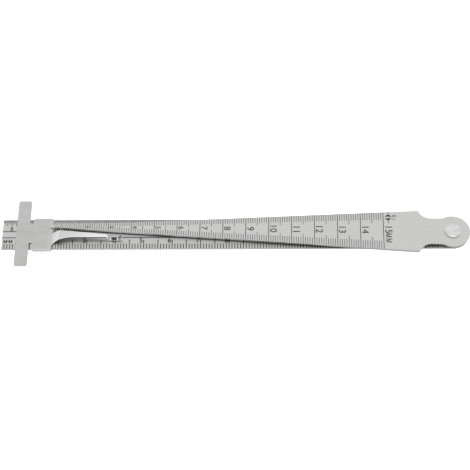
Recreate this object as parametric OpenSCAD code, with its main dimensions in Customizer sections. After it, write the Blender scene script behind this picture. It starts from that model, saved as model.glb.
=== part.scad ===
// Folding weld gap gauge: a taper blade riveted on a steel rule that carries a sliding depth clip.
// Millimetres. The origin is the rivet's axis on the plane that the gauge rests on.
// The rule runs along -X from the rivet to its zero end, and +Z points out of the scale faces.

/* [Rule] */
// Length of the rule past the blade's tip, up to its zero end
zero_past_tip = 16.9; // [10:0.1:30]
// Width of the rule
rule_w = 12; // [10:0.1:16]
// Thickness of the rule
rule_t = 0.6; // [0.4:0.05:1.2]

/* [Taper blade] */
// Thickness of the blade
blade_t = 1; // [0.6:0.05:1.6]
// Width of the blade at its last width line
last_line_w = 15; // [13:0.5:17]
// Distance from the rivet's axis to the last width line
last_line_dist = 24.2; // [20:0.1:30]
// Length of the taper from the last width line to the tip
taper_len = 117.3; // [100:0.1:130]
// Width left at the blade's tip
blade_tip_w = 0.45; // [0.3:0.05:1.2]
// Radius of the round eye about the rivet
eye_r = 6.2; // [5.7:0.1:8]
// Width of the neck behind the eye
neck_w = 10.4; // [9:0.1:11]
// Length of the neck's parallel stretch
neck_len = 3; // [1:0.1:6]
// Radius of the two hollows that form the neck
neck_hollow_r = 4.5; // [3.5:0.1:6]
// Angle at which the blade lies off the rule's centre line
blade_angle = 1; // [0.4:0.1:4]

/* [Pivot] */
// Diameter of the rivet's shank
rivet_d = 3; // [2:0.1:4]
// Diameter of the rivet's front head
rivet_head_d = 5.6; // [5:0.1:8]
// Height of the rivet's front head at its middle
rivet_head_h = 0.5; // [0.4:0.05:1.2]
// Height of the front head's straight rim under its dome
rivet_rim_h = 0.3; // [0.15:0.05:0.35]
// Diameter of the rivet's closed head behind the rule
rivet_back_d = 5.6; // [5:0.1:8]
// Diameter of the washer between the leaves
washer_d = 8; // [6:0.1:10]
// Clearance between the clip's plate and the blade that passes over it
leaf_clear = 0.1; // [0.05:0.01:0.4]
// Radial clearance of the holes on the rivet
pivot_clear = 0.04; // [0.02:0.01:0.1]
// End play of the blade between the washer and the rivet's head
end_play = 0.02; // [0.01:0.01:0.05]

/* [Slide clip] */
// Thickness of the clip's sheet
sheet_t = 0.35; // [0.25:0.05:0.4]
// Clearance of the clip on the rule's faces
clip_clear = 0.05; // [0.03:0.01:0.1]
// Distance from the rule's zero end to the crossbar, the depth that is set
depth_set = 4.95; // [0:0.05:20]
// Width of the crossbar along the rule
bar_w = 4.7; // [3:0.1:8]
// Length of the crossbar across the rule
bar_len = 26.8; // [18:0.1:36]
// Distance of the crossbar's middle from the rule's centre line, towards the far side
bar_off = 0.35; // [-1:0.05:1]
// Radius of the crossbar's corners
bar_corner_r = 0.7; // [0.3:0.1:1.2]
// Width of the relief slots between the crossbar and the body
slot_w = 1.25; // [0.8:0.05:2]
// Depth of the relief slots, in from the rule's edges
slot_depth = 2.4; // [1.5:0.1:3.5]
// Length of the body along the rule
body_len = 7.05; // [6:0.05:12]
// Radius of the body's corners, seen from above
body_corner_r = 1; // [0.3:0.1:1.5]
// Length of each lip behind the rule, in from the rule's edge
lip_len = 2.4; // [1.5:0.1:4]

/* [Spring finger] */
// Distance from the body's end back to the finger's first bend
finger_inset = 0.4; // [0.2:0.05:0.5]
// Width of the slit that parts the finger's root from the body's far half
finger_slit = 0.2; // [0.1:0.05:0.4]
// Length of the finger's slope where it leaves the body
finger_ramp = 1.65; // [1:0.05:2.2]
// Angle of that slope
finger_ramp_angle = 38; // [30:1:45]
// Bend radius inside the finger's folds
finger_bend_r = 1.4; // [0.8:0.05:1.8]
// Length of the finger's straight stretch
finger_len = 16.05; // [12:0.05:25]
// Distance of the finger's near edge from the rule's centre line
finger_near_y = 2.25; // [1.8:0.05:2.9]
// Width of the finger at the body
finger_root_w = 2.8; // [2:0.1:3.2]
// Width of the finger above the foot
finger_neck_w = 1.1; // [0.9:0.1:2]
// Radius of the hollow between the finger and the body's near edge
finger_fillet_r = 2.2; // [1.2:0.1:2.6]
// Length from the first bend over which the near edge sweeps inwards
finger_sweep_len = 8.1; // [5:0.1:9]
// Radius of that sweep
finger_sweep_r = 15; // [12:0.5:40]
// Angle of the foot's two walls
foot_angle = 52; // [45:1:60]
// Bend radius inside the foot's folds
foot_bend_r = 0.45; // [0.3:0.05:0.6]
// Length of the foot's flat bottom
foot_len = 2.1; // [0.6:0.1:3]
// Length of the foot's outer wall
foot_end = 2.25; // [1.5:0.05:3]
// Distance of the foot's near edge from the rule's centre line
foot_near_y = 2.9; // [2:0.05:3.4]
// Width of the foot
foot_w = 1.3; // [0.6:0.05:1.5]
// Gap left between the foot and the rule
foot_gap = 0.3; // [0.05:0.05:0.5]

/* [Hidden] */
$fn = 96;

// Levels, from the resting plane up
back_z = sheet_t + clip_clear;
scale_z = back_z + rule_t;
washer_t = clip_clear + sheet_t + leaf_clear;
blade_z = scale_z + washer_t + end_play;
head_z = blade_z + blade_t + end_play;

// Places along the rule
tip_dist = last_line_dist + taper_len;
rule_len = tip_dist + zero_past_tip;
zero_x = -rule_len;
bar_x = zero_x + depth_set;
slot_x = bar_x + bar_w;
body_x = slot_x + slot_w;
finger_x = body_x + body_len - finger_inset;

// Taper blade
hole_r = rivet_d / 2 + pivot_clear;
taper_slope = (last_line_w - blade_tip_w) / taper_len;
function blade_w_at(dist) = last_line_w + taper_slope * (last_line_dist - dist);
// The neck's hollows cut this far into the eye, so that the outlines cross cleanly
hollow_bite = 0.03;
hollow_y = neck_w / 2 + neck_hollow_r;
eye_hollow_dist = sqrt(pow(eye_r + neck_hollow_r - hollow_bite, 2) - pow(hollow_y, 2));
shoulder_hollow_dist = eye_hollow_dist + neck_len;
neck_root_dist = eye_hollow_dist * eye_r / (eye_r + neck_hollow_r);

// Slide clip
channel_r = rule_t / 2 + clip_clear;
channel_z = back_z + rule_t / 2;
wrap_r = channel_r + sheet_t;
plate_z = scale_z + clip_clear;
half_w = rule_w / 2;
slot_root_y = half_w - slot_depth;
finger_far_y = finger_root_w - finger_near_y;

// Finger, as folds of its sheet: each row is straight length, inside bend radius, turn upwards.
// The sheet runs on into the body's plate over the lap, and past the foot's end, where it is cut round.
finger_lap = 1;
arc_steps = 12;
ramp_mid_r = finger_bend_r + sheet_t / 2;
ramp_top = 2 * ramp_mid_r * (1 - cos(finger_ramp_angle)) + finger_ramp * sin(finger_ramp_angle);
foot_mid_r = foot_bend_r + sheet_t / 2;
foot_drop = clip_clear + ramp_top - foot_gap;
foot_wall = (foot_drop - 2 * foot_mid_r * (1 - cos(foot_angle))) / sin(foot_angle);
finger_folds = [
    [finger_lap, finger_bend_r, finger_ramp_angle],
    [finger_ramp, finger_bend_r, -finger_ramp_angle],
    [finger_len, foot_bend_r, -foot_angle],
    [foot_wall, foot_bend_r, foot_angle],
    [foot_len, foot_bend_r, foot_angle],
    [foot_end + sheet_t, 0, 0]
];
// Places along the finger, from its first bend: top of the ramp, start, flat bottom and end of the foot
ramp_end = 2 * ramp_mid_r * sin(finger_ramp_angle) + finger_ramp * cos(finger_ramp_angle);
foot_start = ramp_end + finger_len;
foot_floor = foot_start + 2 * foot_mid_r * sin(foot_angle) + foot_wall * cos(foot_angle);
foot_stop = foot_floor + foot_len + foot_mid_r * sin(foot_angle) + foot_end * cos(foot_angle);
// Near edge of the finger's sweep at a place along it
function sweep_y(x) =
    sqrt(pow(finger_sweep_r, 2) - pow(finger_sweep_len - x, 2)) - finger_sweep_r - finger_near_y;

// Steel rule with a hole at its rounded end
module rule() {
    color("silver")
    translate([0, 0, back_z])
    linear_extrude(rule_t)
    difference() {
        union() {
            translate([zero_x, -half_w]) square([rule_len, rule_w]);
            circle(half_w);
        }
        circle(hole_r);
    }
}

// Outline of the taper blade: straight taper, two shoulders, hollowed neck and eye
module blade_outline() {
    difference() {
        union() {
            circle(eye_r);
            polygon([
                [-neck_root_dist, -blade_w_at(neck_root_dist) / 2],
                [-neck_root_dist, blade_w_at(neck_root_dist) / 2],
                [-tip_dist, blade_tip_w / 2],
                [-tip_dist, -blade_tip_w / 2]
            ]);
        }
        circle(hole_r);
        for (side = [-1, 1]) {
            translate([-eye_hollow_dist, side * hollow_y]) circle(neck_hollow_r);
            translate([-shoulder_hollow_dist, side * hollow_y]) circle(neck_hollow_r);
            translate([-eye_hollow_dist - neck_len / 2, side * hollow_y])
                square([neck_len, 2 * neck_hollow_r], center = true);
        }
    }
}

module taper_blade() {
    color("gainsboro")
    translate([0, 0, blade_z])
    rotate([0, 0, -blade_angle])
    linear_extrude(blade_t)
    blade_outline();
}

// Rivet with a low domed head in front and a flat closed head behind
module pivot_rivet() {
    dome_h = rivet_head_h - rivet_rim_h;
    dome_r = (pow(rivet_head_d / 2, 2) + pow(dome_h, 2)) / (2 * dome_h);
    color("whitesmoke") {
        cylinder(d = rivet_back_d, h = back_z);
        translate([0, 0, back_z]) cylinder(d = rivet_d, h = head_z - back_z);
        translate([0, 0, head_z]) cylinder(d = rivet_head_d, h = rivet_rim_h);
        intersection() {
            translate([0, 0, head_z + rivet_head_h - dome_r]) sphere(dome_r);
            translate([0, 0, head_z + rivet_rim_h]) cylinder(d = rivet_head_d, h = rivet_head_h);
        }
    }
}

module pivot_washer() {
    color("silver")
    translate([0, 0, scale_z])
    linear_extrude(washer_t)
    difference() {
        circle(d = washer_d);
        circle(hole_r);
    }
}

// Rectangle with rounded corners, from the origin
module rounded_plate(size, r) {
    translate([r, 0]) square([size.x - 2 * r, size.y]);
    translate([0, r]) square([size.x, size.y - 2 * r]);
    for (x = [r, size.x - r], y = [r, size.y - r]) translate([x, y]) circle(r);
}

// Crossbar and the bridge between the relief slots, flat on the scale face
module crossbar() {
    translate([bar_x, bar_off - bar_len / 2, plate_z])
        linear_extrude(sheet_t)
        rounded_plate([bar_w, bar_len], bar_corner_r);
    translate([slot_x, 0, plate_z])
        linear_extrude(sheet_t)
        difference() {
            translate([-bar_corner_r, -half_w]) square([slot_w + 2 * bar_corner_r, rule_w]);
            for (side = [-1, 1]) {
                translate([slot_w / 2, side * (slot_root_y + slot_w / 2)]) circle(d = slot_w);
                translate([slot_w / 2, side * (half_w + slot_root_y + slot_w) / 2])
                    square([slot_w, half_w - slot_root_y], center = true);
            }
        }
}

// Section of the body across the rule: front plate, two round folds and two lips behind
module body_section() {
    translate([-half_w, plate_z]) square([rule_w, sheet_t]);
    for (side = [-1, 1]) {
        translate([side * (half_w - lip_len / 2), sheet_t / 2])
            square([lip_len, sheet_t], center = true);
        difference() {
            translate([side * half_w, channel_z]) circle(wrap_r);
            translate([side * half_w, channel_z]) circle(channel_r);
            translate([side * (half_w - wrap_r / 2), channel_z])
                square([wrap_r, 2 * wrap_r], center = true);
        }
    }
}

// Body with rounded corners: its near half stops at the finger's first bend
module clip_body() {
    wrapped_half_w = half_w + wrap_r;
    translate([body_x, 0, 0])
    intersection() {
        rotate([90, 0, 90]) linear_extrude(body_len) body_section();
        linear_extrude(plate_z + sheet_t)
            difference() {
                translate([0, -wrapped_half_w])
                    rounded_plate([body_len, 2 * wrapped_half_w], body_corner_r);
                translate([body_len - finger_inset, -wrapped_half_w])
                    square([finger_inset, wrapped_half_w + finger_far_y + finger_slit]);
            }
    }
}

// Stations along the underside of a folded strip, each as [x, z, heading]
function fold_stations(folds, i = 0, x = 0, z = 0, heading = 0) =
    i == len(folds) ? [] :
    let (
        turn = folds[i][2],
        side = sign(turn),
        r = folds[i][1] + (turn > 0 ? sheet_t : 0),
        end_x = x + folds[i][0] * cos(heading),
        end_z = z + folds[i][0] * sin(heading),
        mid_x = end_x - side * r * sin(heading),
        mid_z = end_z + side * r * cos(heading),
        arc = [
            for (k = [1 : side == 0 ? 0 : arc_steps])
            let (a = heading + turn * k / arc_steps)
            [mid_x + side * r * sin(a), mid_z - side * r * cos(a), a]
        ],
        last = side == 0 ? [end_x, end_z, heading] : arc[arc_steps - 1]
    )
    concat([[end_x, end_z, heading]], arc, fold_stations(folds, i + 1, last.x, last.y, last.z));

// Side view of a folded strip of sheet that starts at the origin
module folded_section(folds) {
    stations = concat([[0, 0, 0]], fold_stations(folds));
    count = len(stations);
    polygon(concat(
        [for (s = stations) [s.x, s.y]],
        [for (k = [1 : count])
            let (s = stations[count - k])
            [s.x - sheet_t * sin(s.z), s.y + sheet_t * cos(s.z)]]
    ));
}

// Outline of the finger seen from above: straight far edge, foot with a round end, swept near edge
// and the hollow at the body
module finger_outline() {
    tip_run = foot_w / 2 * cos(foot_angle);
    sweep_step = (finger_sweep_len - finger_fillet_r) / arc_steps;
    fillet_y = sweep_y(finger_fillet_r) - finger_fillet_r;
    polygon(concat(
        [
            [-finger_lap, finger_far_y],
            [ramp_end, finger_far_y],
            [foot_start, finger_neck_w - finger_near_y],
            [foot_floor, foot_w - foot_near_y]
        ],
        [
            for (k = [0 : arc_steps])
            let (a = 90 - 180 * k / arc_steps)
            [foot_stop - tip_run * (1 - cos(a)), foot_w * (1 + sin(a)) / 2 - foot_near_y]
        ],
        [
            [foot_floor, -foot_near_y],
            [foot_start, -finger_near_y]
        ],
        [
            for (k = [0 : arc_steps])
            let (x = finger_sweep_len - sweep_step * k)
            [x, sweep_y(x)]
        ],
        [
            for (k = [1 : arc_steps])
            let (a = 90 * k / arc_steps)
            [finger_fillet_r * (1 - sin(a)), fillet_y + finger_fillet_r * cos(a)]
        ],
        [[-finger_lap, fillet_y]]
    ));
}

// The folded strip cut to the finger's outline
module spring_finger() {
    translate([finger_x, 0, 0])
    intersection() {
        translate([-finger_lap, half_w, plate_z])
            rotate([90, 0, 0])
            linear_extrude(rule_w)
            folded_section(finger_folds);
        linear_extrude(plate_z + ramp_top + foot_end + foot_wall) finger_outline();
    }
}

module slide_clip() {
    color("lightgray") {
        crossbar();
        clip_body();
        spring_finger();
    }
}

rule();
taper_blade();
pivot_rivet();
pivot_washer();
slide_clip();
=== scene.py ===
from math import radians

import bmesh
import bpy
from mathutils import Matrix, Vector


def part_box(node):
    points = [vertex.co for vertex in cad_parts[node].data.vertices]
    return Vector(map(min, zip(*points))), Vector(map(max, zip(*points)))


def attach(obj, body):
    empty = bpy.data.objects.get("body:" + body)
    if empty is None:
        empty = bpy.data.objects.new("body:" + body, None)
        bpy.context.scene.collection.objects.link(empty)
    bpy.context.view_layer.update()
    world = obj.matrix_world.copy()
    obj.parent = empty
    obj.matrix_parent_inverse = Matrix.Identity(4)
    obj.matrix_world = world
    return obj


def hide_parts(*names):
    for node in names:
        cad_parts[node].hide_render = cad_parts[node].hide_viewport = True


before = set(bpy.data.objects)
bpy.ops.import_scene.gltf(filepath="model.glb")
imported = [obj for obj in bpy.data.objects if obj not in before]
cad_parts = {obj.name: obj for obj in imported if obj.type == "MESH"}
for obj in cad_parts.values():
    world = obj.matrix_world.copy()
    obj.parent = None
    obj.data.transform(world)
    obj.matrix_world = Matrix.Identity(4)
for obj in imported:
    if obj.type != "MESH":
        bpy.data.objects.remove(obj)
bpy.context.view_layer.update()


# Rule: the back leaf, a flat strip of stainless spring steel. It is sheared square at its zero end,
# blanked round at the pivot, satin finished along its length and tumbled to break its edges.

MM = 0.001
rule_edge = 0.06 * MM
rule_bright = "#B3B3B3"
rule_dull = "#ADADAC"
# Colour of upright faces: the sheared edges' duller finish plus painted shade.
rule_cut_and_shade = "#8E8E8E"
rule_gloss = (0.34, 0.4)
rule_relief = 0.15
belt_grain = (25 * MM, 0.35 * MM)
scratch_depth = 0.01 * MM
noise_range = (0.3, 0.7)
edge_to_flat = (0.2, 0.7)
weld = 0.001 * MM
same_plane = radians(0.5)
sharp_edge = radians(35)
crisp_edge = radians(20)


def linear(colour):
    """An sRGB hex colour as linear RGBA."""
    channels = [int(colour[i:i + 2], 16) / 255 for i in (1, 3, 5)]
    return [c / 12.92 if c <= 0.04045 else ((c + 0.055) / 1.055) ** 2.4 for c in channels] + [1]


def add_node(tree, kind, inputs, **settings):
    """Adds a node with its settings. An input is a value, or the output that is linked to it."""
    node = tree.nodes.new(kind)
    for name, value in settings.items():
        setattr(node, name, value)
    for name, value in inputs.items():
        if isinstance(value, bpy.types.NodeSocket):
            tree.links.new(value, node.inputs[name])
        else:
            node.inputs[name].default_value = value
    return node


def satin_steel(name, bright, dull, cut_and_shade, gloss, grain, turn, relief):
    """Stainless steel finished with a fine belt: long soft streaks that shift the tone and the
    gloss. Upright faces take a darker colour: partly the sheared edges' duller finish, partly
    painted shade. A belt's scratches are about 0.05 mm apart, too fine to show here, so they are
    drawn coarser."""
    material = bpy.data.materials.new(name)
    material.use_nodes = True
    tree = material.node_tree
    surface = tree.nodes["Principled BSDF"]
    place = add_node(tree, "ShaderNodeTexCoord", {})
    along = add_node(tree, "ShaderNodeMapping", {
        "Vector": place.outputs["Object"],
        "Rotation": (0, 0, turn),
        "Scale": (1 / grain[0], 1 / grain[1], 1 / grain[1]),
    })
    streaks = add_node(tree, "ShaderNodeTexNoise", {
        "Vector": along.outputs["Vector"], "Scale": 1, "Detail": 4, "Roughness": 0.6,
    })
    tone = add_node(tree, "ShaderNodeValToRGB", {"Fac": streaks.outputs["Fac"]})
    tone.color_ramp.elements[0].position = noise_range[0]
    tone.color_ramp.elements[0].color = linear(dull)
    tone.color_ramp.elements[1].position = noise_range[1]
    tone.color_ramp.elements[1].color = linear(bright)
    facing = add_node(tree, "ShaderNodeSeparateXYZ", {"Vector": place.outputs["Normal"]})
    upright = add_node(tree, "ShaderNodeMath", {0: facing.outputs["Z"]}, operation="ABSOLUTE")
    flat = add_node(tree, "ShaderNodeMapRange", {
        "Value": upright.outputs["Value"], "From Min": edge_to_flat[0], "From Max": edge_to_flat[1],
    })
    # Upright faces take the darker colour: the sheared edges' duller finish plus painted shade.
    skin = add_node(tree, "ShaderNodeMixRGB", {
        "Fac": flat.outputs["Result"], "Color1": linear(cut_and_shade), "Color2": tone.outputs["Color"],
    })
    shine = add_node(tree, "ShaderNodeMapRange", {
        "Value": streaks.outputs["Fac"], "From Min": noise_range[0], "From Max": noise_range[1],
        "To Min": gloss[0], "To Max": gloss[1],
    })
    scratches = add_node(tree, "ShaderNodeBump", {
        "Height": streaks.outputs["Fac"], "Strength": relief, "Distance": scratch_depth,
    })
    tree.links.new(skin.outputs["Color"], surface.inputs["Base Color"])
    tree.links.new(shine.outputs["Result"], surface.inputs["Roughness"])
    tree.links.new(scratches.outputs["Normal"], surface.inputs["Normal"])
    surface.inputs["Metallic"].default_value = 1
    return material


def add_piece(shape, name, material, body):
    """A finished piece from a bmesh: smooth along its curves, crisp at its edges."""
    mesh = bpy.data.meshes.new(name)
    shape.to_mesh(mesh)
    shape.free()
    mesh.shade_smooth()
    mesh.set_sharp_from_angle(angle=crisp_edge)
    mesh.materials.append(material)
    piece = bpy.data.objects.new(name, mesh)
    bpy.context.scene.collection.objects.link(piece)
    even = piece.modifiers.new("even_flats", "WEIGHTED_NORMAL")
    even.keep_sharp = True
    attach(piece, body)
    return piece


def broken_edges(node, width):
    """A copy of a CAD node, merged, with its sharp edges broken by that width."""
    shape = bmesh.new()
    shape.from_mesh(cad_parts[node].data)
    bmesh.ops.remove_doubles(shape, verts=shape.verts, dist=weld)
    bmesh.ops.dissolve_limit(shape, angle_limit=same_plane, verts=shape.verts, edges=shape.edges)
    sharp = [
        edge for edge in shape.edges if edge.is_manifold and edge.calc_face_angle() > sharp_edge]
    bmesh.ops.bevel(
        shape, geom=sharp, offset=width, affect="EDGES", segments=2, profile=0.5, material=-1)
    return shape


rule_steel = satin_steel(
    "satin_stainless_rule", rule_bright, rule_dull, rule_cut_and_shade, rule_gloss, belt_grain, 0,
    rule_relief)
rule_leaf = add_piece(broken_edges("rule", rule_edge), "rule_leaf", rule_steel, "rule")
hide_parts("rule")


# Rule's scales: lines and figures etched into the steel and filled with black. Millimetres run
# along the near edge and 64ths of an inch along the far one, with two long lines between them.

rule_low, rule_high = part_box("rule")
fill_rise = 0.006 * MM
fill_depth = 0.014 * MM
fill_black = "#161616"
fill_worn = "#2C2C2C"
fill_wear = (0.4, 0.75)
fill_wear_size = 1.5 * MM
fill_roughness = 0.55
last_millimetre = 153
millimetre_line = 0.32 * MM
millimetre_length = 2.05 * MM
five_length = 3.75 * MM
figure_height = 2.0 * MM
figure_middle = 3.4 * MM
figure_lead = 0.95 * MM
figure_weight = 0.021
figure_weld = 0.0004
unit_height = 1.3 * MM
unit_width = 1.05 * MM
unit_spacing = 1.75 * MM
unit_stroke = 0.33 * MM
unit_place = 1.35 * MM
unit_middle = 3.15 * MM
inch = 25.4 * MM
fine_shares = 64
fine_end = int(last_millimetre * MM / inch * fine_shares)
fine_line = 0.22 * MM
fine_lengths = {1: 1.05 * MM, 2: 1.75 * MM, 4: 2.4 * MM, 8: 2.9 * MM}
fine_figure_step = 8
fine_figure_height = 1.54 * MM
fine_figure_middle = 3.72 * MM
long_line = 0.34 * MM
long_line_places = (-1.33 * MM, 1.2 * MM)


def add_line(shape, place, x, y, size_x, size_y):
    """A filled line, centred at x, y on the face that the place puts it on."""
    middle = Matrix.Translation((x, y, (fill_rise - fill_depth) / 2))
    size = Matrix.Diagonal((size_x, size_y, fill_rise + fill_depth, 1))
    bmesh.ops.create_cube(shape, size=1, matrix=place @ middle @ size)


def add_unit(shape, place, x, y, height, width, spacing, stroke, turn=0):
    """The mark MM, filled, with strokes of that width. Its first letter's middle is at x, y."""
    slant = stroke / 2 * (1 + (width / 2 / height) ** 2) ** 0.5
    steep = 2 * height / width
    right = [
        (slant, -height / 2),
        (width / 2 - stroke / 2, height / 2 - (stroke / 2 + slant) * steep),
        (width / 2 - stroke / 2, -height / 2),
        (width / 2 + stroke / 2, -height / 2),
        (width / 2 + stroke / 2, height / 2),
        (width / 2 - slant, height / 2),
        (0, slant * steep - height / 2),
    ]
    outline = right + [(-across, upwards) for across, upwards in reversed(right[:-1])]
    for letter in (0, 1):
        here = (
            place @ Matrix.Translation((x, y, 0)) @ Matrix.Rotation(turn, 4, "Z")
            @ Matrix.Translation((letter * spacing, 0, 0)))
        corners = [shape.verts.new(here @ Vector((*point, -fill_depth))) for point in outline]
        grown = bmesh.ops.extrude_face_region(shape, geom=[shape.faces.new(corners)])["geom"]
        raised = [part for part in grown if isinstance(part, bmesh.types.BMVert)]
        bmesh.ops.translate(shape, verts=raised, vec=(0, 0, fill_rise + fill_depth))


def add_figures(shape, place, text, height, weight, x, y, turn=0):
    """Filled figures of that height, centred at x, y on the face that the place puts them on. The
    weight widens their strokes on both sides, as a share of the type size."""
    curve = bpy.data.curves.new("figures", "FONT")
    curve.body = text
    curve.extrude = 0.5
    text_object = bpy.data.objects.new("figures", curve)
    mesh = bpy.data.meshes.new_from_object(text_object)
    figures = bmesh.new()
    figures.from_mesh(mesh)
    bmesh.ops.remove_doubles(figures, verts=figures.verts, dist=figure_weld)
    bmesh.ops.recalc_face_normals(figures, faces=figures.faces)
    figures.normal_update()
    for vertex in figures.verts:
        vertex.co += Vector((vertex.normal.x, vertex.normal.y, 0)).normalized() * weight
    figures.to_mesh(mesh)
    figures.free()
    across = [vertex.co.x for vertex in mesh.vertices]
    upwards = [vertex.co.y for vertex in mesh.vertices]
    scale = height / (max(upwards) - min(upwards))
    centre = Matrix.Translation(
        (-(max(across) + min(across)) / 2, -(max(upwards) + min(upwards)) / 2, 0))
    size = Matrix.Diagonal((scale, scale, fill_rise + fill_depth, 1))
    middle = Matrix.Translation((x, y, (fill_rise - fill_depth) / 2))
    mesh.transform(place @ middle @ Matrix.Rotation(turn, 4, "Z") @ size @ centre)
    shape.from_mesh(mesh)
    bpy.data.objects.remove(text_object)
    bpy.data.curves.remove(curve)
    bpy.data.meshes.remove(mesh)


def close_marks(shape):
    """Welds the faces of marks to their sides, and turns all of them outwards."""
    bmesh.ops.remove_doubles(shape, verts=shape.verts, dist=weld)
    bmesh.ops.recalc_face_normals(shape, faces=shape.faces)


def etched_fill(name):
    """Black enamel wiped into an etched line: matt, and a little paler here and there where it
    wears thin.
    """
    material = bpy.data.materials.new(name)
    material.use_nodes = True
    tree = material.node_tree
    surface = tree.nodes["Principled BSDF"]
    place = add_node(tree, "ShaderNodeTexCoord", {})
    rubbing = add_node(tree, "ShaderNodeTexNoise", {
        "Vector": place.outputs["Object"], "Scale": 1 / fill_wear_size, "Detail": 3,
    })
    tone = add_node(tree, "ShaderNodeValToRGB", {"Fac": rubbing.outputs["Fac"]})
    tone.color_ramp.elements[0].position = fill_wear[0]
    tone.color_ramp.elements[0].color = linear(fill_black)
    tone.color_ramp.elements[1].position = fill_wear[1]
    tone.color_ramp.elements[1].color = linear(fill_worn)
    tree.links.new(tone.outputs["Color"], surface.inputs["Base Color"])
    surface.inputs["Roughness"].default_value = fill_roughness
    return material


black_fill = etched_fill("black_etch_fill")
on_rule = Matrix.Translation((rule_low.x, 0, rule_high.z))
near_y = rule_low.y + rule_edge
far_y = rule_high.y - rule_edge

rule_lines = bmesh.new()
for millimetre in range(1, last_millimetre + 1):
    length = five_length if millimetre % 5 == 0 else millimetre_length
    add_line(rule_lines, on_rule, millimetre * MM, near_y + length / 2, millimetre_line, length)
for step in range(1, fine_end):
    length = max(size for share, size in fine_lengths.items() if step % share == 0)
    add_line(rule_lines, on_rule, step * inch / fine_shares, far_y - length / 2, fine_line, length)
for y in long_line_places:
    length = last_millimetre * MM
    add_line(rule_lines, on_rule, length / 2, y, length, long_line)
add_piece(rule_lines, "rule_scale_lines", black_fill, "rule")

rule_figures = bmesh.new()
add_unit(
    rule_figures, on_rule, unit_place, near_y + unit_middle, unit_height, unit_width, unit_spacing,
    unit_stroke)
for centimetre in range(1, last_millimetre // 10 + 1):
    lead = figure_lead * len(str(centimetre))
    add_figures(
        rule_figures, on_rule, str(centimetre), figure_height, figure_weight,
        centimetre * 10 * MM - lead, near_y + figure_middle)
for step in range(fine_figure_step, fine_end, fine_figure_step):
    add_figures(
        rule_figures, on_rule, str(step % fine_shares or step // fine_shares), fine_figure_height,
        figure_weight, step * inch / fine_shares, far_y - fine_figure_middle)
close_marks(rule_figures)
add_piece(rule_figures, "rule_figures", black_fill, "rule")


# Washer: a thin flat ring punched from the same stainless strip. It rides on the rivet between the
# leaves and keeps room for the clip's plate.

washer_edge = 0.05 * MM
washer = add_piece(broken_edges("pivot_washer", washer_edge), "washer_ring", rule_steel, "rule")
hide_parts("pivot_washer")


# Taper blade: the front leaf, blanked from 1 mm stainless strip and ground to a straight taper, so
# that its width is the gap that it fills. It is satin finished along its own length.

blade_edge = 0.06 * MM
blade_turn = radians(-1)
blade_bright = "#B9B9B9"
blade_dull = "#B3B3B2"
# Colour of upright faces: the sheared edges' duller finish plus painted shade.
blade_cut_and_shade = "#787878"
blade_gloss = (0.22, 0.3)
blade_relief = 0.12
# Painted light: the blade's upright sides are painted lighter towards the tip, lifting their shade.
tip_painted_light = "#D6D6D6"
tip_light_span = (-40 * MM, -120 * MM)


def rub_tip(material):
    """Paints the blade's upright sides lighter towards its tip: painted light that lifts their
    shade.
    """
    tree = material.node_tree
    surface = tree.nodes["Principled BSDF"]
    skin = surface.inputs["Base Color"].links[0].from_socket
    place = add_node(tree, "ShaderNodeTexCoord", {})
    along = add_node(tree, "ShaderNodeSeparateXYZ", {"Vector": place.outputs["Object"]})
    facing = add_node(tree, "ShaderNodeSeparateXYZ", {"Vector": place.outputs["Normal"]})
    upright = add_node(tree, "ShaderNodeMath", {0: facing.outputs["Z"]}, operation="ABSOLUTE")
    side = add_node(tree, "ShaderNodeMapRange", {
        "Value": upright.outputs["Value"], "From Min": edge_to_flat[1], "From Max": edge_to_flat[0],
    })
    towards_tip = add_node(tree, "ShaderNodeMapRange", {
        "Value": along.outputs["X"], "From Min": tip_light_span[0], "From Max": tip_light_span[1],
    })
    lit_share = add_node(tree, "ShaderNodeMath", {
        0: side.outputs["Result"], 1: towards_tip.outputs["Result"],
    }, operation="MULTIPLY")
    bright = add_node(tree, "ShaderNodeMixRGB", {
        "Fac": lit_share.outputs["Value"], "Color1": skin, "Color2": linear(tip_painted_light),
    })
    tree.links.new(bright.outputs["Color"], surface.inputs["Base Color"])


blade_steel = satin_steel(
    "satin_stainless_blade", blade_bright, blade_dull, blade_cut_and_shade, blade_gloss, belt_grain,
    -blade_turn, blade_relief)
# Paints light on the blade's upright sides towards the tip.
rub_tip(blade_steel)
blade_leaf = add_piece(
    broken_edges("taper_blade", blade_edge), "blade_leaf", blade_steel, "blade")
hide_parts("taper_blade")


# Blade's width lines: etched and filled like the rule's. A full line stands where the blade is a
# whole number of millimetres wide, with tenths on both edges between them. The figures read down
# the blade.

blade_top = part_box("taper_blade")[1].z
on_blade = Matrix.Translation((0, 0, blade_top)) @ Matrix.Rotation(blade_turn, 4, "Z")
down_blade = radians(-90)
first_tenth = 7
first_figure = 2
last_width = 15
last_width_place = 24.2 * MM
taper_length = 117.3 * MM
taper_widening = 14.55 * MM
tenth_line = 0.2 * MM
whole_line = 0.25 * MM
tenth_base = 0.9 * MM
tenth_share = 0.147
half_share = 1.45
blade_figure_gap = 0.45 * MM
blade_figure_height = 2.5 * MM
blade_figure_base = 1 * MM
blade_figure_share = 1 / 6
blade_figure_weight = 0.01
last_figure_shift = 0.15 * MM
last_figure_middle = 0.2 * MM
last_unit_height = 2.1 * MM
last_unit_width = 1.25 * MM
last_unit_spacing = 2.08 * MM
last_unit_stroke = 0.27 * MM
last_unit_middle = -2.05 * MM
tenth_figure_height = 1.35 * MM
tenth_figure_place = 3.85 * MM
tenth_figure_middle = 2.1 * MM
arrow_place = 1.8 * MM
arrow_middle = 2.2 * MM
arrow_gap = 0.6 * MM
arrow_head = 1.05 * MM
arrow_width = 2.6 * MM
arrow_stem = 1.2 * MM


def line_place(width):
    """Where the blade is that many millimetres wide, along its axis from the rivet."""
    return -last_width_place - taper_length / taper_widening * (last_width - width) * MM


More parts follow.
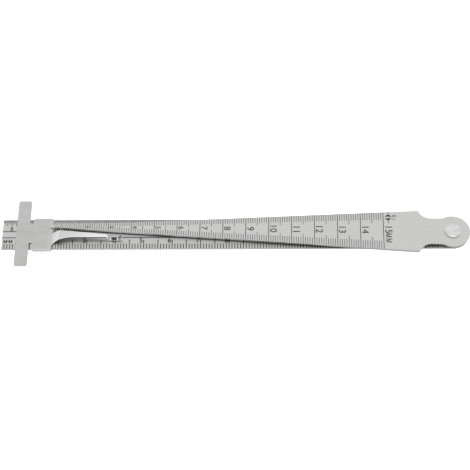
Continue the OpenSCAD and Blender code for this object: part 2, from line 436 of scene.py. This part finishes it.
blade_lines = bmesh.new()
for tenth in range(first_tenth, last_width * 10 + 1):
    width = tenth / 10
    room = width * MM - 2 * blade_edge
    length = (tenth_base + tenth_share * width * MM) * (half_share if tenth % 5 == 0 else 1)
    if tenth % 10 == 0 or 2 * length > room:
        line = whole_line if tenth % 10 == 0 else tenth_line
        add_line(blade_lines, on_blade, line_place(width), 0, line, room)
    else:
        for side in (-1, 1):
            middle = side * (room - length) / 2
            add_line(blade_lines, on_blade, line_place(width), middle, tenth_line, length)

blade_far_y = last_width * MM / 2
arrows_x = -last_width_place + arrow_place
arrows_y = blade_far_y - arrow_middle
for side in (-1, 1):
    head = arrows_y + side * (arrow_gap / 2 + arrow_head / 3)
    stem = arrows_y + side * (arrow_gap / 2 + arrow_head + arrow_stem / 2)
    add_line(blade_lines, on_blade, arrows_x, stem, tenth_line, arrow_stem)
    # A head is a three-sided prism, which is 1.5 long and 3 ** 0.5 wide when its radius is 1.
    bmesh.ops.create_cone(
        blade_lines, cap_ends=True, segments=3, radius1=1, radius2=1, depth=1,
        matrix=on_blade
        @ Matrix.Translation((arrows_x, head, (fill_rise - fill_depth) / 2))
        @ Matrix.Diagonal((arrow_width / 3 ** 0.5, arrow_head / 1.5, fill_rise + fill_depth, 1))
        @ Matrix.Rotation(radians(90 - 90 * side), 4, "Z"))
add_piece(blade_lines, "blade_width_lines", black_fill, "blade")

blade_figures = bmesh.new()
for width in range(first_figure, last_width):
    height = min(blade_figure_height, blade_figure_base + blade_figure_share * width * MM)
    add_figures(
        blade_figures, on_blade, str(width), height, blade_figure_weight,
        line_place(width) + blade_figure_gap + height / 2, 0, down_blade)
last_figures_x = (
    -last_width_place + blade_figure_gap + blade_figure_height / 2 + last_figure_shift)
add_figures(
    blade_figures, on_blade, str(last_width), blade_figure_height, blade_figure_weight,
    last_figures_x, last_figure_middle, down_blade)
add_unit(
    blade_figures, on_blade, last_figures_x, last_unit_middle, last_unit_height, last_unit_width,
    last_unit_spacing, last_unit_stroke, down_blade)
add_figures(
    blade_figures, on_blade, "0.1", tenth_figure_height, blade_figure_weight,
    -last_width_place + tenth_figure_place, blade_far_y - tenth_figure_middle, down_blade)
close_marks(blade_figures)
add_piece(blade_figures, "blade_figures", black_fill, "blade")


# Rivet: a stainless pin through both leaves. Its low front head has a steep side and a wide face,
# struck bright and a little uneven by the closing tool. Its other end is closed flat behind the
# rule.

rivet_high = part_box("pivot_rivet")[1]
rivet_bright = "#CACACA"
rivet_scuffed = "#B8B8B8"
rivet_dull = "#A8A8A8"
rivet_gloss = (0.16, 0.28)
dent_size = 1.2 * MM
dent_depth = 0.2 * MM
scuff_range = (0.33, 0.67)
struck_r = 2.7 * MM
struck_rim = 0.05 * MM
head_r = rivet_high.x
head_edge = 0.1 * MM
head_gap = 0.02 * MM
head_z = blade_top + head_gap
rim_drop = 0.12 * MM
flat_r = 2.55 * MM
flat_drop = 0.02 * MM
shank_r = 1.5 * MM
rivet_steps = 64


def peened_steel(name, bright, scuffed, dull, radius):
    """Stainless closed by a press: bright within that radius of the Z axis, where the tool struck
    it, with shallow dents that break up its tone and its gloss, and dull outside."""
    material = bpy.data.materials.new(name)
    material.use_nodes = True
    tree = material.node_tree
    surface = tree.nodes["Principled BSDF"]
    place = add_node(tree, "ShaderNodeTexCoord", {})
    dents = add_node(tree, "ShaderNodeTexNoise", {
        "Vector": place.outputs["Object"], "Scale": 1 / dent_size, "Detail": 2, "Roughness": 0.5,
    })
    outwards = add_node(tree, "ShaderNodeVectorMath", {
        0: place.outputs["Object"], 1: (1, 1, 0),
    }, operation="MULTIPLY")
    away = add_node(
        tree, "ShaderNodeVectorMath", {0: outwards.outputs["Vector"]}, operation="LENGTH")
    struck = add_node(tree, "ShaderNodeMapRange", {
        "Value": away.outputs["Value"], "From Min": radius, "From Max": radius + struck_rim,
    })
    scuffs = add_node(tree, "ShaderNodeMapRange", {
        "Value": dents.outputs["Fac"], "From Min": scuff_range[0], "From Max": scuff_range[1],
    })
    face = add_node(tree, "ShaderNodeMixRGB", {
        "Fac": scuffs.outputs["Result"], "Color1": linear(bright), "Color2": linear(scuffed),
    })
    tone = add_node(tree, "ShaderNodeMixRGB", {
        "Fac": struck.outputs["Result"], "Color1": face.outputs["Color"], "Color2": linear(dull),
    })
    shine = add_node(tree, "ShaderNodeMapRange", {
        "Value": dents.outputs["Fac"], "From Min": noise_range[0], "From Max": noise_range[1],
        "To Min": rivet_gloss[0], "To Max": rivet_gloss[1],
    })
    relief = add_node(tree, "ShaderNodeBump", {
        "Height": dents.outputs["Fac"], "Strength": 1, "Distance": dent_depth,
    })
    tree.links.new(shine.outputs["Result"], surface.inputs["Roughness"])
    tree.links.new(relief.outputs["Normal"], surface.inputs["Normal"])
    tree.links.new(tone.outputs["Color"], surface.inputs["Base Color"])
    surface.inputs["Metallic"].default_value = 1
    return material


rivet_profile = [
    (0, 0),
    (head_r - head_edge, 0),
    (head_r, head_edge),
    (head_r, rule_low.z - head_edge),
    (head_r - head_edge, rule_low.z),
    (shank_r, rule_low.z),
    (shank_r, head_z),
    (head_r, head_z),
    (head_r, rivet_high.z - rim_drop),
    (flat_r, rivet_high.z - flat_drop),
    (0, rivet_high.z),
]
rivet_shape = bmesh.new()
points = [rivet_shape.verts.new((radius, 0, height)) for radius, height in rivet_profile]
sides = [rivet_shape.edges.new(pair) for pair in zip(points, points[1:])]
bmesh.ops.spin(
    rivet_shape, geom=points + sides, cent=(0, 0, 0), axis=(0, 0, 1), angle=radians(360),
    steps=rivet_steps, use_merge=True)
bmesh.ops.remove_doubles(rivet_shape, verts=rivet_shape.verts, dist=weld)
bmesh.ops.recalc_face_normals(rivet_shape, faces=rivet_shape.faces)
rivet_steel = peened_steel(
    "peened_stainless_rivet", rivet_bright, rivet_scuffed, rivet_dull, struck_r)
rivet = add_piece(rivet_shape, "rivet_pin", rivet_steel, "rule")
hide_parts("pivot_rivet")


# Slide clip: one stamping of hard rolled stainless sheet. Its lips are folded round the rule, and
# its finger is bent up and down again into a foot that stands just above the scale face.

clip_edge = 0.13 * MM
clip_bright = "#AFAFAF"
clip_dull = "#A4A4A3"
# Colour of upright faces and steep folds: the sheared edges' duller finish plus painted shade.
clip_cut_and_shade = "#868686"
clip_gloss = (0.16, 0.23)
clip_grain = (12 * MM, 3 * MM)
clip_relief = 0.05
# Painted highlight on the finger, rising along its length towards the foot.
finger_painted_highlight = "#D2D2D2"
finger_highlight_span = (-143 * MM, -126 * MM)
# Painted shade: a dark patch on the upward faces of the foot's trough.
foot_painted_shade = "#3C3C3C"
foot_middle = -118.8 * MM
foot_trough = (0.85 * MM, 1.1 * MM)
trough_floor = (0.8, 0.98)


def worn_in_use(material):
    """Paints a highlight on the finger, lighter towards its end, and paints shade on the floor of
    the foot's trough."""
    tree = material.node_tree
    surface = tree.nodes["Principled BSDF"]
    skin = surface.inputs["Base Color"].links[0].from_socket
    place = add_node(tree, "ShaderNodeTexCoord", {})
    along = add_node(tree, "ShaderNodeSeparateXYZ", {"Vector": place.outputs["Object"]})
    facing = add_node(tree, "ShaderNodeSeparateXYZ", {"Vector": place.outputs["Normal"]})
    # Painted highlight: the finger is painted lighter towards its end.
    lit_share = add_node(tree, "ShaderNodeMapRange", {
        "Value": along.outputs["X"], "From Min": finger_highlight_span[0], "From Max": finger_highlight_span[1],
    })
    bright = add_node(tree, "ShaderNodeMixRGB", {
        "Fac": lit_share.outputs["Result"], "Color1": skin, "Color2": linear(finger_painted_highlight),
    })
    # Painted shade on the floor of the foot's trough, within the trough's span along the finger.
    beside = add_node(tree, "ShaderNodeMath", {
        0: along.outputs["X"], 1: foot_middle,
    }, operation="SUBTRACT")
    away = add_node(tree, "ShaderNodeMath", {0: beside.outputs["Value"]}, operation="ABSOLUTE")
    trough = add_node(tree, "ShaderNodeMapRange", {
        "Value": away.outputs["Value"], "From Min": foot_trough[0], "From Max": foot_trough[1],
        "To Min": 1, "To Max": 0,
    })
    upwards = add_node(tree, "ShaderNodeMapRange", {
        "Value": facing.outputs["Z"], "From Min": trough_floor[0], "From Max": trough_floor[1],
    })
    shaded = add_node(tree, "ShaderNodeMath", {
        0: trough.outputs["Result"], 1: upwards.outputs["Result"],
    }, operation="MULTIPLY")
    foot_shaded = add_node(tree, "ShaderNodeMixRGB", {
        "Fac": shaded.outputs["Value"], "Color1": bright.outputs["Color"],
        "Color2": linear(foot_painted_shade),
    })
    tree.links.new(foot_shaded.outputs["Color"], surface.inputs["Base Color"])


clip_sheet = satin_steel(
    "rolled_stainless_clip", clip_bright, clip_dull, clip_cut_and_shade, clip_gloss, clip_grain, 0,
    clip_relief)
# The finger carries a painted highlight and the foot's trough painted shade.
worn_in_use(clip_sheet)
clip = add_piece(broken_edges("slide_clip", clip_edge), "clip_stamping", clip_sheet, "clip")
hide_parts("slide_clip")


# Studio: a plain white light table in a white tent, a little brighter on the left and behind the
# camera, with one weak softbox above. The photograph's camera has a long lens and looks down on the
# scale faces from the near side.

table_white = "#FCFCFC"
table_roughness = 0.9
table_glow = 0.5
table_reach = 3
light_white = "#FFFFFF"
tent_strength = 1.25
left_gain = 0.3
left_range = (-0.2, -0.9)
front_gain = 0.2
front_range = (0.2, -0.7)
softbox_place = Vector((-0.08, -0.25, 0.9))
softbox_size = (0.9, 0.5)
softbox_power = 0.35
aim = Vector((-0.07635, -0.00031, 0.0008))
camera_distance = 0.497
camera_turn = radians(0.955)
camera_tilt = radians(90 - 59)
camera_roll = radians(-0.985)
camera_lens = 108.12
camera_sensor = 36

floor_shape = bmesh.new()
bmesh.ops.create_grid(floor_shape, x_segments=1, y_segments=1, size=table_reach)
floor_mesh = bpy.data.meshes.new("floor")
floor_shape.to_mesh(floor_mesh)
floor_shape.free()
floor_paint = bpy.data.materials.new("white_table")
floor_paint.use_nodes = True
floor_surface = floor_paint.node_tree.nodes["Principled BSDF"]
floor_surface.inputs["Base Color"].default_value = linear(table_white)
floor_surface.inputs["Roughness"].default_value = table_roughness
floor_surface.inputs["Emission Color"].default_value = linear(light_white)
floor_surface.inputs["Emission Strength"].default_value = table_glow
floor_mesh.materials.append(floor_paint)
floor = bpy.data.objects.new("floor", floor_mesh)
bpy.context.scene.collection.objects.link(floor)

world = bpy.data.worlds.new("studio")
world.use_nodes = True
tent = world.node_tree
tent_side = add_node(tent, "ShaderNodeSeparateXYZ", {
    "Vector": add_node(tent, "ShaderNodeTexCoord", {}).outputs["Generated"],
})
left_light = add_node(tent, "ShaderNodeMapRange", {
    "Value": tent_side.outputs["X"], "From Min": left_range[0], "From Max": left_range[1],
    "To Max": left_gain,
})
front_light = add_node(tent, "ShaderNodeMapRange", {
    "Value": tent_side.outputs["Y"], "From Min": front_range[0], "From Max": front_range[1],
    "To Max": front_gain,
})
side_light = add_node(tent, "ShaderNodeMath", {
    0: left_light.outputs["Result"], 1: front_light.outputs["Result"],
})
tent_light = add_node(tent, "ShaderNodeMath", {0: side_light.outputs["Value"], 1: tent_strength})
tent.nodes["Background"].inputs["Color"].default_value = linear(light_white)
tent.links.new(tent_light.outputs["Value"], tent.nodes["Background"].inputs["Strength"])
bpy.context.scene.world = world

softbox_light = bpy.data.lights.new("top_softbox", "AREA")
softbox_light.shape = "RECTANGLE"
softbox_light.size, softbox_light.size_y = softbox_size
softbox_light.energy = softbox_power
softbox = bpy.data.objects.new("top_softbox", softbox_light)
softbox.location = softbox_place
softbox.rotation_euler = (aim - softbox_place).to_track_quat("-Z", "Y").to_euler()
bpy.context.scene.collection.objects.link(softbox)

camera_data = bpy.data.cameras.new("camera")
camera_data.sensor_width = camera_sensor
camera_data.lens = camera_lens
camera = bpy.data.objects.new("camera", camera_data)
turned = (
    Matrix.Rotation(camera_turn, 4, "Z")
    @ Matrix.Rotation(camera_tilt, 4, "X")
    @ Matrix.Rotation(camera_roll, 4, "Z"))
back = Matrix.Translation((0, 0, camera_distance))
camera.matrix_world = Matrix.Translation(aim) @ turned @ back
bpy.context.scene.collection.objects.link(camera)
bpy.context.scene.camera = camera
bpy.context.scene.view_settings.view_transform = "Standard"
